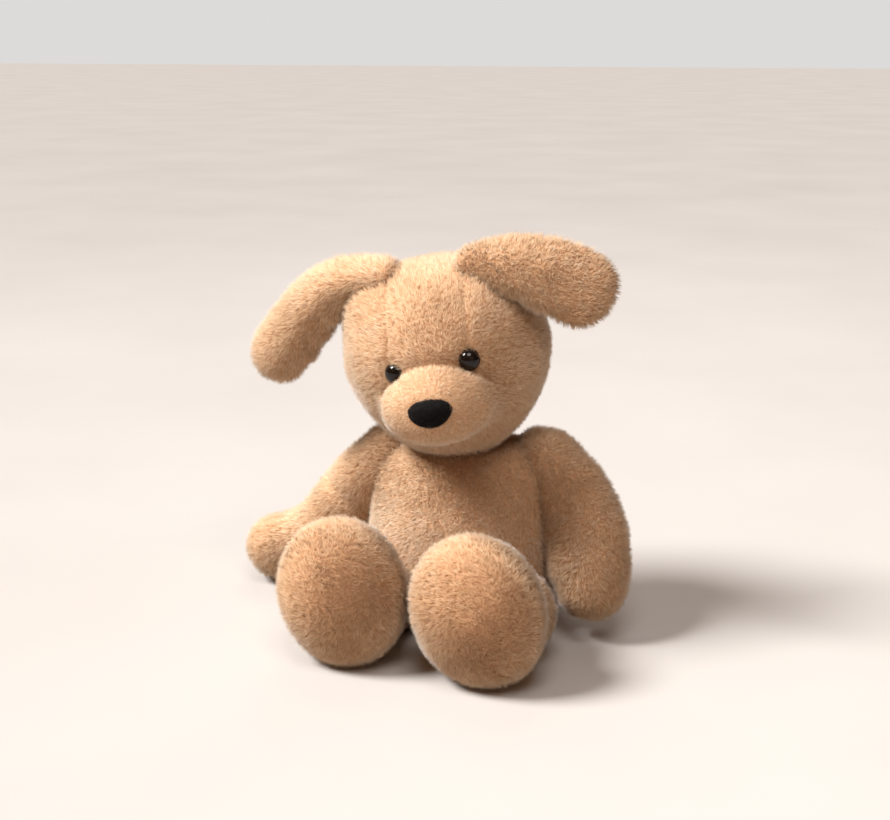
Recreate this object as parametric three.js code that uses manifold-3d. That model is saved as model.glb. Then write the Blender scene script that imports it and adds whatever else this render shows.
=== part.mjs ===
// A seated plush dog: sewn fabric panels over stuffing, with soft round roots where the head, ears,
// limbs and tail are sewn on. Millimetres, +Z up, the dog faces -Y and its left side is +X.
// The origin is the middle of the flat seat.
import * as THREE from 'three';
import { mergeVertices } from 'three/addons/utils/BufferGeometryUtils.js';
import Module from 'manifold-3d';

const wasm = await Module();
wasm.setup();

const vec = (x, y, z) => new THREE.Vector3(x, y, z);
const X = vec(1, 0, 0);
const Y = vec(0, 1, 0);
const Z = vec(0, 0, 1);

// Fabric and clearances
const SKIN = 2.4; // backing cloth with its pressed pile
const GAP = 0.3; // between pieces that touch
const TURN_GAP = 1.4; // between a round root and the hollow it turns in
const FAR = 500; // reaches past the whole dog

// Torso, from the seat up: height, half width, half depth, middle's distance behind the origin
const TORSO = [
  { z: -8, wide: 48, thick: 40, back: 2 },
  { z: 4, wide: 57, thick: 46, back: 1 },
  { z: 22, wide: 63, thick: 50, back: -1 },
  { z: 46, wide: 61, thick: 49, back: -2 },
  { z: 72, wide: 52, thick: 43, back: 1 },
  { z: 95, wide: 40, thick: 33, back: 5 },
];
const TORSO_TOP = 12; // height of the dome above the last ring
const PELLET_LEVEL = 26; // the pellet pouch fills the seat up to here

// Head, in a frame whose origin is the neck pivot
const NECK = vec(0, 4, 118);
const NECK_RADIUS = 15;
const HEAD_PITCH = 3; // degrees, nose down
const HEAD_ROLL = -10; // degrees, left ear up
const HEAD_TURN = 9; // degrees, towards the dog's left
const SKULL = { centre: vec(0, -12, 54), radii: [63, 55, 61] };
const MUZZLE = { centre: vec(0, -58, 37), radii: [35, 31, 27] };
const MUZZLE_RIM = 2; // the muzzle panel's edge stands this far outside the crease
const SEAM_X = 23; // the gusset's seams, which run through the eyes
const GUSSET_FLOOR = MUZZLE.centre; // the gusset lies above and behind a plane through here
const GUSSET_TILT = vec(0, 0.5, 0.87);
const EYE = { z: 60, radius: 5.6, flat: 0.8, stem: 1.5, reach: 10 };
const NOSE = { z: 41, half: [12.6, 6, 8], stem: 2, reach: 14 };
const WASHER = { radius: 6, hole: 2.4, thick: 1.4 };

// Ears, in the head's frame: the left one faces forward, the right one is twisted and droops more
const EAR_AXIS = vec(0, -0.95, -0.32); // along the root's seam, from the crown forward
const EAR_ROOT = { wide: 13, thick: 7 };
const LEFT_EAR = [
  { at: vec(25, -22, 112), ...EAR_ROOT, side: EAR_AXIS },
  { at: vec(52, -28, 111), wide: 17, thick: 8, side: vec(0, -0.75, -0.66) },
  { at: vec(76, -32, 98), wide: 23, thick: 9, side: vec(-0.2, -0.5, -0.84) },
  { at: vec(92, -35, 87), wide: 23, thick: 8.5, side: vec(-0.4, -0.35, -0.84) },
];
const RIGHT_EAR = [
  { at: vec(-25, -22, 112), ...EAR_ROOT, side: EAR_AXIS },
  { at: vec(-56, -14, 112), wide: 16, thick: 9, side: vec(0.05, -0.9, -0.43) },
  { at: vec(-85, -8, 97), wide: 19, thick: 10.5, side: vec(0.25, -0.85, -0.46) },
  { at: vec(-111, -6, 72), wide: 19, thick: 10, side: vec(0.5, -0.7, -0.5) },
];
const EAR_TIP = 17;

// Arms: the left one hangs by the side, the right one is spread with its paw on the ground
const SHOULDER_RADIUS = 16;
const LEFT_ARM = [
  { at: vec(48, 6, 108), radius: SHOULDER_RADIUS },
  { at: vec(66, 3, 97), radius: 17.5 },
  { at: vec(79, -1, 79), radius: 19.5 },
  { at: vec(87, -8, 57), radius: 21 },
  { at: vec(87, -13, 34), radius: 21.5 },
];
const RIGHT_ARM = [
  { at: vec(-49, 6, 101), radius: SHOULDER_RADIUS },
  { at: vec(-75, 12, 82), radius: 17 },
  { at: vec(-90, 13, 60), radius: 19 },
  { at: vec(-108, 10, 36), radius: 20 },
  { at: vec(-131, 8, 25), radius: 20 },
];
const PAW_ROUND = 20;

// Legs, for the dog's left: a stuffed tube lying forward and a large upright foot
const HIP = vec(31.5, -19, 24);
const HIP_RADIUS = 21;
const LEG = [
  { at: HIP, radius: HIP_RADIUS },
  { at: vec(34, -48, 24), radius: 21.5 },
  { at: vec(39, -78, 27), radius: 25 },
];
const LEG_END = 22;
const LEG_UP = 15; // degrees that a leg swings up from lying forward, and down
const LEG_DOWN = 75;
const LEG_ROOM = 22.2; // half the width of the slot in the torso
const WELL_REACH = 60;
const FOOT = { centre: vec(42, -98, 44), radii: [39, 28, 44] };
const SOLE_PLANE = vec(0, -108, 0);

// Tail
const TAIL_ROOT_RADIUS = 9;
const TAIL = [
  { at: vec(0, 49, 22), radius: TAIL_ROOT_RADIUS },
  { at: vec(0, 61, 25), radius: 10 },
  { at: vec(0, 72, 33), radius: 10 },
];
const TAIL_END = 10;

// Care label: a blank loop of tape held in the back seam
const LABEL = { thick: 1.2, out: 14, tall: 18, lean: 10, at: vec(0, 48.2, 62) };
const LABEL_NOTCH = 4; // the notch for it goes this much deeper, through the skin

const FUR = { color: 0xd9a878, roughness: 0.95, metalness: 0 };
const MUZZLE_FUR = { color: 0xe6c096, roughness: 0.95, metalness: 0 };
const WADDING = { color: 0xf4f1ea, roughness: 1, metalness: 0 };
const PELLETS = { color: 0xded8cc, roughness: 0.6, metalness: 0 };
const EYE_PLASTIC = { color: 0x0b0908, roughness: 0.08, metalness: 0 };
const NOSE_FLOCK = { color: 0x141213, roughness: 0.9, metalness: 0 };
const WASHER_PLASTIC = { color: 0xe8e8e6, roughness: 0.45, metalness: 0 };
const LABEL_TAPE = { color: 0xf2f0ec, roughness: 0.7, metalness: 0 };

const dog = new THREE.Group();
const head = new THREE.Group();
head.position.copy(NECK);
head.rotation.set(
  THREE.MathUtils.degToRad(HEAD_PITCH),
  THREE.MathUtils.degToRad(HEAD_ROLL),
  THREE.MathUtils.degToRad(HEAD_TURN),
  'ZYX',
);
dog.add(head);

// ---- Solids ----

function solidOf(geometry) {
  const bare = geometry.clone();
  bare.deleteAttribute('normal');
  bare.deleteAttribute('uv');
  const merged = mergeVertices(bare, 1e-4);
  return new wasm.Manifold(new wasm.Mesh({
    numProp: 3,
    vertProperties: new Float32Array(merged.attributes.position.array),
    triVerts: new Uint32Array(merged.index.array),
  }));
}

function addPiece(group, name, solid, finish) {
  const { vertProperties, triVerts } = solid.getMesh();
  const geometry = new THREE.BufferGeometry();
  geometry.setAttribute('position', new THREE.BufferAttribute(new Float32Array(vertProperties), 3));
  geometry.setIndex(new THREE.BufferAttribute(new Uint32Array(triVerts), 1));
  geometry.computeVertexNormals();
  const mesh = new THREE.Mesh(geometry, new THREE.MeshStandardMaterial(finish));
  mesh.name = name;
  group.add(mesh);
}

// Everything ahead of the plane through a point
function ahead(point, normal) {
  const box = new THREE.BoxGeometry(FAR, FAR, FAR).translate(0, 0, FAR / 2);
  box.applyQuaternion(new THREE.Quaternion().setFromUnitVectors(Z, normal.clone().normalize()));
  return solidOf(box.translate(point.x, point.y, point.z));
}

// A solid cut in two along a seam, with half the gap taken from each side
function splitAt(solid, point, normal) {
  const step = normal.clone().normalize().multiplyScalar(GAP / 2);
  return [
    solid.intersect(ahead(point.clone().add(step), normal)),
    solid.intersect(ahead(point.clone().sub(step), normal.clone().negate())),
  ];
}

// Inner surfaces are cut a little coarser than outer ones
function facets(count, grow) {
  return grow < 0 ? count - 4 : count;
}

function ellipsoid({ centre, radii }, grow = 0, around = 18, rows = 12) {
  const geometry = new THREE.SphereGeometry(1, facets(around, grow), facets(rows, grow));
  geometry.rotateX(Math.PI / 2);
  geometry.scale(radii[0] + grow, radii[1] + grow, radii[2] + grow);
  return solidOf(geometry.translate(centre.x, centre.y, centre.z));
}

function ball(centre, radius) {
  return ellipsoid({ centre, radii: [radius, radius, radius] }, 0, 12, 8);
}

// A round bar from one point to another
function bar(from, to, radius, sides = 10) {
  const along = to.clone().sub(from);
  const geometry = new THREE.CylinderGeometry(radius, radius, along.length(), sides);
  geometry.applyQuaternion(new THREE.Quaternion().setFromUnitVectors(Y, along.clone().normalize()));
  const middle = from.clone().addScaledVector(along, 0.5);
  return solidOf(geometry.translate(middle.x, middle.y, middle.z));
}

// Rings of equal count, joined by triangles and closed by a point at each end
function closedRings(rings, first, last) {
  const around = rings[0].length;
  const points = [first, ...rings.flat(), last];
  const end = points.length - 1;
  const at = (ring, i) => 1 + ring * around + (i % around);
  const faces = [];
  for (let i = 0; i < around; i += 1) {
    faces.push(0, at(0, i + 1), at(0, i));
    for (let ring = 0; ring + 1 < rings.length; ring += 1) {
      faces.push(at(ring, i), at(ring, i + 1), at(ring + 1, i));
      faces.push(at(ring + 1, i), at(ring, i + 1), at(ring + 1, i + 1));
    }
    faces.push(end, at(rings.length - 1, i), at(rings.length - 1, i + 1));
  }
  const geometry = new THREE.BufferGeometry();
  geometry.setAttribute('position', new THREE.Float32BufferAttribute(points.flatMap((p) => p.toArray()), 3));
  geometry.setIndex(faces);
  return solidOf(geometry);
}

// A smooth body along a spine. Each station gives a point and a radius, or the half size along a side
// vector and the half size across it. A cap of the given length rounds an end, which is flat without one.
function swept({ stations, side = X, startCap = 0, endCap = 0, steps = 6, around = 12 }, grow = 0) {
  const spine = new THREE.CatmullRomCurve3(stations.map((s) => s.at));
  const halfSizes = stations.map((s) => vec(s.wide ?? s.radius, s.thick ?? s.radius, 0));
  const sizes = new THREE.CatmullRomCurve3(halfSizes);
  const sides = new THREE.CatmullRomCurve3(stations.map((s) => s.side ?? side));
  const count = facets(around, grow);
  const capSteps = 3;
  const ringAt = (t, reach, shrink) => {
    const along = spine.getTangent(t);
    const across = sides.getPoint(t);
    across.addScaledVector(along, -across.dot(along)).normalize();
    const over = vec(0, 0, 0).crossVectors(along, across);
    const size = sizes.getPoint(t);
    const centre = spine.getPoint(t).addScaledVector(along, reach);
    return Array.from({ length: count }, (_, i) => {
      const angle = (2 * Math.PI * i) / count;
      return centre.clone()
        .addScaledVector(across, (size.x + grow) * shrink * Math.cos(angle))
        .addScaledVector(over, (size.y + grow) * shrink * Math.sin(angle));
    });
  };
  const startReach = startCap ? startCap + grow : 0;
  const endReach = endCap ? endCap + grow : 0;
  const rings = [];
  for (let k = 1; k < capSteps && startCap; k += 1) {
    const angle = (k / capSteps) * (Math.PI / 2);
    rings.push(ringAt(0, -startReach * Math.cos(angle), Math.sin(angle)));
  }
  for (let k = 0; k <= steps; k += 1) {
    rings.push(ringAt(k / steps, 0, 1));
  }
  for (let k = 1; k < capSteps && endCap; k += 1) {
    const angle = (k / capSteps) * (Math.PI / 2);
    rings.push(ringAt(1, endReach * Math.sin(angle), Math.cos(angle)));
  }
  const first = spine.getPoint(0).addScaledVector(spine.getTangent(0), -startReach);
  const last = spine.getPoint(1).addScaledVector(spine.getTangent(1), endReach);
  return closedRings(rings, first, last);
}

// A skin and its filling. form(grow) gives the outline moved outwards by grow, and hollow(grow) what is
// pressed into it from outside.
function stuffed(form, hollow) {
  const carved = (depth) => {
    const body = form(-depth);
    return hollow ? body.subtract(hollow(depth)) : body;
  };
  return {
    skin: carved(0).subtract(carved(SKIN)),
    filling: carved(SKIN + GAP),
  };
}

// A right piece from a left one
function mirrored(solid) {
  return solid.mirror([1, 0, 0]);
}

// ---- Torso ----

// The room for a leg as it swings between its limits: a slot that opens forwards and down, seen from
// the side with forward to the right, with a round back where the hip turns
function hipWell(centre, grow) {
  const radius = LEG_ROOM + grow;
  const polar = (reach, degrees) => {
    const angle = THREE.MathUtils.degToRad(degrees);
    return new THREE.Vector2(reach * Math.cos(angle), reach * Math.sin(angle));
  };
  const up = LEG_UP;
  const down = -LEG_DOWN;
  const slot = new THREE.Shape();
  slot.absarc(0, 0, radius, THREE.MathUtils.degToRad(up + 90), THREE.MathUtils.degToRad(down + 270), false);
  const corners = [
    polar(radius, down - 90).add(polar(WELL_REACH, down)),
    polar(2 * WELL_REACH, (up + down) / 2),
    polar(radius, up + 90).add(polar(WELL_REACH, up)),
  ];
  corners.forEach((corner) => slot.lineTo(corner.x, corner.y));
  const depth = 2 * radius;
  const geometry = new THREE.ExtrudeGeometry(slot, { depth, bevelEnabled: false, curveSegments: 6 });
  geometry.translate(0, 0, -depth / 2);
  const axes = new THREE.Matrix4().makeBasis(Y.clone().negate(), Z, X.clone().negate());
  geometry.applyMatrix4(axes);
  return solidOf(geometry.translate(centre.x, centre.y, centre.z));
}

function torsoHollows(grow) {
  const shoulderHollow = SHOULDER_RADIUS + TURN_GAP + grow;
  return ball(NECK, NECK_RADIUS + TURN_GAP + grow)
    .add(ball(LEFT_ARM[0].at, shoulderHollow))
    .add(ball(RIGHT_ARM[0].at, shoulderHollow))
    .add(ball(TAIL[0].at, TAIL_ROOT_RADIUS + TURN_GAP + grow))
    .add(hipWell(HIP, grow))
    .add(hipWell(vec(-HIP.x, HIP.y, HIP.z), grow));
}

function torsoForm(grow) {
  const stations = TORSO.map((ring) => ({
    at: vec(0, ring.back, ring.z),
    wide: ring.wide,
    thick: ring.thick,
  }));
  return swept({ stations, endCap: TORSO_TOP, steps: 7, around: 18 }, grow)
    .intersect(ahead(vec(0, 0, -grow), Z));
}

// The care label, leaning with the back, or with a clearance the notch in the seam that holds it
function labelBox(grow, deeper) {
  const out = LABEL.out + 2 * grow + deeper;
  const box = new THREE.BoxGeometry(LABEL.thick + 2 * grow, out, LABEL.tall + 2 * grow);
  box.translate(0, -deeper / 2, 0).rotateX(THREE.MathUtils.degToRad(LABEL.lean));
  return solidOf(box.translate(LABEL.at.x, LABEL.at.y, LABEL.at.z));
}

function addTorso() {
  const { skin, filling } = stuffed(torsoForm, torsoHollows);
  const sideSeam = vec(0, TORSO[0].back, 0);
  const [back, front] = splitAt(skin, sideSeam, Y);
  const [backLeft, backRight] = splitAt(back.subtract(labelBox(GAP, LABEL_NOTCH)), vec(0, 0, 0), X);
  const [stuffing, pellets] = splitAt(filling, vec(0, 0, PELLET_LEVEL), Z);
  addPiece(dog, 'torso_front_panel', front, FUR);
  addPiece(dog, 'torso_back_left_panel', backLeft, FUR);
  addPiece(dog, 'torso_back_right_panel', backRight, FUR);
  addPiece(dog, 'torso_stuffing', stuffing, WADDING);
  addPiece(dog, 'pellet_pouch', pellets, PELLETS);
  addPiece(dog, 'neck_wad', ball(NECK, NECK_RADIUS), WADDING);
  addPiece(dog, 'care_label', labelBox(0, 0), LABEL_TAPE);
}

// ---- Head ----

// The point of the skull's surface at x and z, on the face side, and the outward direction there
function onFace(shape, x, z) {
  const [a, b, c] = shape.radii;
  const dx = x - shape.centre.x;
  const dz = z - shape.centre.z;
  const dy = -b * Math.sqrt(1 - (dx / a) ** 2 - (dz / c) ** 2);
  return {
    at: vec(x, shape.centre.y + dy, z),
    out: vec(dx / a ** 2, dy / b ** 2, dz / c ** 2).normalize(),
  };
}

// A domed button with a stem that runs inwards, grown by a clearance
function button({ at, out }, radii, stem, reach, grow = 0) {
  const geometry = new THREE.SphereGeometry(1, 12, 7);
  geometry.scale(radii[0] + grow, radii[1] + grow, radii[2] + grow);
  geometry.applyQuaternion(new THREE.Quaternion().setFromUnitVectors(Y.clone().negate(), out));
  const dome = solidOf(geometry.translate(at.x, at.y, at.z));
  return dome.add(bar(at, at.clone().addScaledVector(out, -reach - grow), stem + grow, 10));
}

// A disc across a button's stem, at a depth below the button
function disc({ at, out }, depth, radius, thick) {
  const outer = at.clone().addScaledVector(out, thick / 2 - depth);
  const inner = at.clone().addScaledVector(out, -thick / 2 - depth);
  return bar(inner, outer, radius);
}

// The locking ring on a button's stem
function washer(place, depth) {
  const hole = disc(place, depth, WASHER.hole, 2 * WASHER.thick);
  return disc(place, depth, WASHER.radius, WASHER.thick).subtract(hole);
}

function headForm(grow) {
  return ellipsoid(SKULL, grow).add(ellipsoid(MUZZLE, grow, 14, 9));
}

function earForm(stations, grow) {
  return swept({ stations, startCap: EAR_ROOT.thick, endCap: EAR_TIP, around: 10 }, grow);
}

function headHollows(grow) {
  const half = EAR_AXIS.clone().normalize().multiplyScalar(EAR_ROOT.wide + TURN_GAP + grow);
  const radius = EAR_ROOT.thick + TURN_GAP + grow;
  const groove = bar(LEFT_EAR[0].at.clone().sub(half), LEFT_EAR[0].at.clone().add(half), radius);
  return ball(vec(0, 0, 0), NECK_RADIUS + TURN_GAP + grow)
    .add(groove)
    .add(mirrored(groove))
    .add(earForm(LEFT_EAR, TURN_GAP + grow))
    .add(earForm(RIGHT_EAR, TURN_GAP + grow));
}

function addHead() {
  const { skin, filling } = stuffed(headForm, headHollows);
  const eyeRadii = [EYE.radius, EYE.radius * EYE.flat, EYE.radius];
  const eye = { radii: eyeRadii, size: EYE, finish: EYE_PLASTIC };
  const nose = { radii: NOSE.half, size: NOSE, finish: NOSE_FLOCK };
  const fittings = [
    { ...eye, name: 'left_eye', place: onFace(SKULL, SEAM_X, EYE.z) },
    { ...eye, name: 'right_eye', place: onFace(SKULL, -SEAM_X, EYE.z) },
    { ...nose, name: 'nose', place: onFace(MUZZLE, 0, NOSE.z) },
  ];
  let pierced = skin;
  let stuffing = filling;
  fittings.forEach(({ name, place, radii, size, finish }) => {
    const depth = size.reach - WASHER.thick;
    const room = button(place, radii, size.stem, size.reach, GAP);
    pierced = pierced.subtract(room);
    const washerRoom = disc(place, depth, WASHER.radius + GAP, WASHER.thick + 2 * GAP);
    stuffing = stuffing.subtract(room).subtract(washerRoom);
    addPiece(head, name, button(place, radii, size.stem, size.reach), finish);
    addPiece(head, `${name}_washer`, washer(place, depth), WASHER_PLASTIC);
  });
  const muzzle = pierced.intersect(ellipsoid(MUZZLE, MUZZLE_RIM, 14, 9));
  const rest = pierced.subtract(ellipsoid(MUZZLE, MUZZLE_RIM + GAP, 14, 9));
  const strip = (grow) => solidOf(new THREE.BoxGeometry(2 * (SEAM_X + grow), FAR, FAR))
    .intersect(ahead(GUSSET_FLOOR.clone().addScaledVector(GUSSET_TILT, -grow), GUSSET_TILT));
  const gusset = rest.intersect(strip(-GAP / 2));
  const cheeks = rest.subtract(strip(GAP / 2));
  const [left, right] = splitAt(cheeks, vec(0, 0, 0), X);
  addPiece(head, 'head_left_panel', left, FUR);
  addPiece(head, 'head_right_panel', right, FUR);
  addPiece(head, 'forehead_gusset', gusset, FUR);
  addPiece(head, 'muzzle_panel', muzzle, MUZZLE_FUR);
  addPiece(head, 'head_stuffing', stuffing, WADDING);
}

// ---- Ears, limbs and tail ----

function addEar(sideName, stations) {
  const { skin, filling } = stuffed((grow) => earForm(stations, grow));
  const along = stations[3].at.clone().sub(stations[0].at);
  const facing = vec(0, 0, 0).crossVectors(along, stations[2].side);
  const [one, other] = splitAt(skin, stations[2].at, facing);
  const [front, back] = facing.y < 0 ? [one, other] : [other, one];
  addPiece(head, `${sideName}_ear_front_panel`, front, FUR);
  addPiece(head, `${sideName}_ear_back_panel`, back, FUR);
  addPiece(head, `${sideName}_ear_wadding`, filling, WADDING);
}

function addArm(sideName, stations) {
  const form = (grow) => swept({ stations, side: Y, startCap: SHOULDER_RADIUS, endCap: PAW_ROUND }, grow);
  const { skin, filling } = stuffed(form);
  const [back, front] = splitAt(skin, stations[2].at, Y);
  addPiece(dog, `${sideName}_arm_front_panel`, front, FUR);
  addPiece(dog, `${sideName}_arm_back_panel`, back, FUR);
  addPiece(dog, `${sideName}_arm_stuffing`, filling, WADDING);
}

function addLegs() {
  const form = (grow) => swept({ stations: LEG, startCap: HIP_RADIUS, endCap: LEG_END, steps: 4 }, grow)
    .add(ellipsoid(FOOT, grow, 14, 10));
  const { skin, filling } = stuffed(form);
  const [rest, sole] = splitAt(skin, SOLE_PLANE, Y);
  const seamNormal = vec(LEG[2].at.y - HIP.y, HIP.x - LEG[2].at.x, 0).negate();
  const [outer, inner] = splitAt(rest, HIP, seamNormal);
  [['left', (s) => s], ['right', mirrored]].forEach(([sideName, place]) => {
    addPiece(dog, `${sideName}_leg_outer_panel`, place(outer), FUR);
    addPiece(dog, `${sideName}_leg_inner_panel`, place(inner), FUR);
    addPiece(dog, `${sideName}_sole`, place(sole), FUR);
    addPiece(dog, `${sideName}_leg_stuffing`, place(filling), WADDING);
  });
}

function addTail() {
  const tube = { stations: TAIL, startCap: TAIL_ROOT_RADIUS, endCap: TAIL_END, steps: 3, around: 8 };
  const form = (grow) => swept(tube, grow);
  const { skin, filling } = stuffed(form);
  const [left, right] = splitAt(skin, vec(0, 0, 0), X);
  addPiece(dog, 'tail_left_panel', left, FUR);
  addPiece(dog, 'tail_right_panel', right, FUR);
  addPiece(dog, 'tail_stuffing', filling, WADDING);
}

addTorso();
addHead();
addEar('left', LEFT_EAR);
addEar('right', RIGHT_EAR);
addArm('left', LEFT_ARM);
addArm('right', RIGHT_ARM);
addLegs();
addTail();

export default dog;
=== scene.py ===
"""The looks of a seated plush dog: soft stuffed forms with sewn seams, covered in short pile.

Points and lengths are in millimetres until a mesh is made. The dog faces -Y and its left is +X.
"""

import math

import bmesh
import bpy
import numpy as np
from mathutils import Matrix, Vector
from mathutils.bvhtree import BVHTree
from mathutils.kdtree import KDTree


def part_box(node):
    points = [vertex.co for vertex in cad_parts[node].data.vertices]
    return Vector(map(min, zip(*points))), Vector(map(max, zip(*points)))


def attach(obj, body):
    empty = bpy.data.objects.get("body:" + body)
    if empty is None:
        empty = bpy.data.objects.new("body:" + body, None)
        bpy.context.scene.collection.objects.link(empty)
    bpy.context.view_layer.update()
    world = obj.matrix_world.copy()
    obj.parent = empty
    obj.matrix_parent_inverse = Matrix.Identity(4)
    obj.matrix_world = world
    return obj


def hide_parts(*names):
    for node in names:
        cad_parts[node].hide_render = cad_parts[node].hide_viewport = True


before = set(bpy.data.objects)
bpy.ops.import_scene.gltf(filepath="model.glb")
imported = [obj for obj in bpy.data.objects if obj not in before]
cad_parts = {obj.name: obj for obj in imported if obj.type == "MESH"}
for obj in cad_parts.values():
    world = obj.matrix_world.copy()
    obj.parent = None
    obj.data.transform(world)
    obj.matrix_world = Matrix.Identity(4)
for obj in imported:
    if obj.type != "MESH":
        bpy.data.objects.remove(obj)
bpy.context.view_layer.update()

MM = 0.001
PILE_MAP = "OFBake"  # the pile's colour is read through the map of this name
FORM_VOXEL = 3.6
CLOTH_FRAMES = 20
CLOTH_PRESSURE = 4.0
CLOTH_REACH = 1.6  # the most that the pressed cloth may move
WADDING_INSET = 4.2
FLOOR_CLEARANCE = 0.3  # the lowest that a skin may reach
FIBRE_CLEARANCE = 0.25  # and a fibre

PER_CLUMP = 13
CLUMP_PULL = 0.30  # how far each tip leans to the middle of its clump
FIBRE_RADIUS = 0.2
SEAM_REACH = 2.2  # how far from a seam its pile is shorter and darker
TONE_BY_CLUMP = 0.26
TONE_BY_FIBRE = 0.16
TONE_BY_PLACE = 0.12
TONE_AT_SEAM = -0.15
LIMB_DENSITY = 2.1  # fibres to the square millimetre
LIMB_LENGTH = 4.6
LEG_LENGTH = 4.4
HEAD_LENGTH = 4.2
MUZZLE_LENGTH = 2.4

EYE_RADIUS = 6.4
EYE_HEIGHT = 5.2
EYE_DEPTH = {"left": 0.0, "right": 0.7}
LEFT_EYE_LIFT = 2.4
NOSE_RADII = [14.0, 6.4, 9.0]
FLOCK_DENSITY = 9
FLOCK_LENGTH = 0.75
LABEL_OUT = 13
LABEL_HALF_TALL = 9
LABEL_HALF_GAP = 0.9  # half the width of the folded tape
LABEL_HALF_INSIDE = 0.55
LABEL_AT = (48.2, 62)
LABEL_LEAN = math.radians(10)

NECK = np.array([0.0, 4, 118])
HEAD_TURN = (
    Matrix.Rotation(math.radians(9), 3, "Z")
    @ Matrix.Rotation(math.radians(-10), 3, "Y")
    @ Matrix.Rotation(math.radians(3), 3, "X")
)
HEAD = np.array(HEAD_TURN)
SEAM_X = 23
SKULL = np.array([0.0, -12, 54])
SKULL_RADII = np.array([63.0, 55, 61])
MUZZLE = np.array([0.0, -58, 37])
MUZZLE_RADII = np.array([35.0, 31, 27])
GUSSET_TILT = np.array([0, 0.5, 0.87])
SOLE_Y = -108

LEFT_ARM = np.array([(48, 6, 108), (66, 3, 97), (79, -1, 79), (87, -8, 57), (87, -13, 34)], float)
RIGHT_ARM = np.array(
    [(-49, 6, 101), (-75, 12, 82), (-90, 13, 60), (-108, 10, 36), (-131, 8, 25)], float
)
LEFT_EAR = np.array([(25, -22, 112), (52, -28, 111), (76, -32, 98), (92, -35, 87)], float)
RIGHT_EAR = np.array([(-25, -22, 112), (-56, -14, 112), (-85, -8, 97), (-111, -6, 72)], float)
TAIL = np.array([(0, 49, 22), (0, 61, 25), (0, 72, 33)], float)
LEG = np.array([(31.5, -19, 24), (34, -48, 24), (39, -78, 27)], float)
FOOT = np.array([42.0, -98, 44])
MIRROR = np.array([-1.0, 1, 1])


# ---- Small tools ----


def to_head(points):
    return (points - NECK) @ HEAD


def from_head(points):
    return np.asarray(points, float) @ HEAD.T + NECK


def unit(v):
    return v / np.maximum(np.linalg.norm(v, axis=-1, keepdims=True), 1e-9)


def dot(a, b):
    return (a * b).sum(-1, keepdims=True)


def wave(points, size, rng):
    """A smooth random value between about -1 and 1 for each point, that changes over that size."""
    total = np.zeros(len(points))
    for _ in range(10):
        way = unit(rng.normal(size=3))
        total += np.sin(points @ way * (2 * math.pi / (size * rng.uniform(0.7, 1.5))) + rng.uniform(0, 6.3))
    return total / 4.5


def mesh_object(name, points, faces):
    mesh = bpy.data.meshes.new(name)
    mesh.from_pydata((np.asarray(points) * MM).tolist(), [], [list(f) for f in faces])
    mesh.update()
    made = bpy.data.objects.new(name, mesh)
    bpy.context.scene.collection.objects.link(made)
    return made


def points_of(thing):
    mesh = thing.data
    flat = np.empty(len(mesh.vertices) * 3, np.float32)
    mesh.vertices.foreach_get("co", flat)
    return flat.reshape(-1, 3).astype(float) / MM


def normals_of(thing):
    mesh = thing.data
    flat = np.empty(len(mesh.vertices) * 3, np.float32)
    mesh.vertices.foreach_get("normal", flat)
    return flat.reshape(-1, 3).astype(float)


def set_points(thing, points):
    thing.data.vertices.foreach_set("co", (np.asarray(points) * MM).astype(np.float32).ravel())
    thing.data.update()


def bake_modifiers(thing):
    """Makes what the modifiers give the object's own mesh."""
    graph = bpy.context.evaluated_depsgraph_get()
    mesh = bpy.data.meshes.new_from_object(thing.evaluated_get(graph))
    old = thing.data
    thing.modifiers.clear()
    thing.data = mesh
    bpy.data.meshes.remove(old)
    mesh.name = thing.name


def shade_smooth(thing):
    thing.data.polygons.foreach_set("use_smooth", np.ones(len(thing.data.polygons), bool))


def node_middle(name):
    lo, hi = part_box(name)
    return (np.array(lo) + np.array(hi)) / 2 / MM


EYES = [to_head(node_middle("left_eye")) + [0, 0, LEFT_EYE_LIFT], to_head(node_middle("right_eye"))]


# ---- Soft forms ----


def ball(centre, radii, turn=None):
    """A round blob as points and faces."""
    made = bmesh.new()
    bmesh.ops.create_icosphere(made, subdivisions=4, radius=1)
    points = np.array([v.co for v in made.verts]) * radii
    faces = [[v.index for v in f.verts] for f in made.faces]
    made.free()
    if turn is not None:
        points = points @ turn.T
    return points + centre, faces


def head_ball(centre, radii):
    """A blob whose place and axes are the head's."""
    return ball(from_head(np.array(centre, float)), radii, HEAD)


def rod(a, b, ra, rb):
    """A chain of blobs from a to b, close enough to melt into one."""
    a, b = np.asarray(a, float), np.asarray(b, float)
    steps = max(2, int(np.linalg.norm(b - a) / 4))
    out = []
    for i in range(steps + 1):
        t = i / steps
        out.append(ball(a + (b - a) * t, np.full(3, ra + (rb - ra) * t)))
    return out


def cad(*names):
    """The CAD nodes' own meshes as points and faces."""
    out = []
    for name in names:
        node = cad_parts[name]
        out.append((points_of(node), [list(p.vertices) for p in node.data.polygons]))
    return out


def hull(parts):
    """The tight convex cover of those parts."""
    made = bmesh.new()
    for points, _ in parts:
        for p in points:
            made.verts.new(p)
    bmesh.ops.convex_hull(made, input=made.verts)
    made.verts.ensure_lookup_table()
    loose = [v for v in made.verts if not v.link_faces]
    bmesh.ops.delete(made, geom=loose, context="VERTS")
    made.verts.index_update()
    points = np.array([v.co for v in made.verts])
    faces = [[v.index for v in f.verts] for f in made.faces]
    made.free()
    return [(points, faces)]


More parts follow.
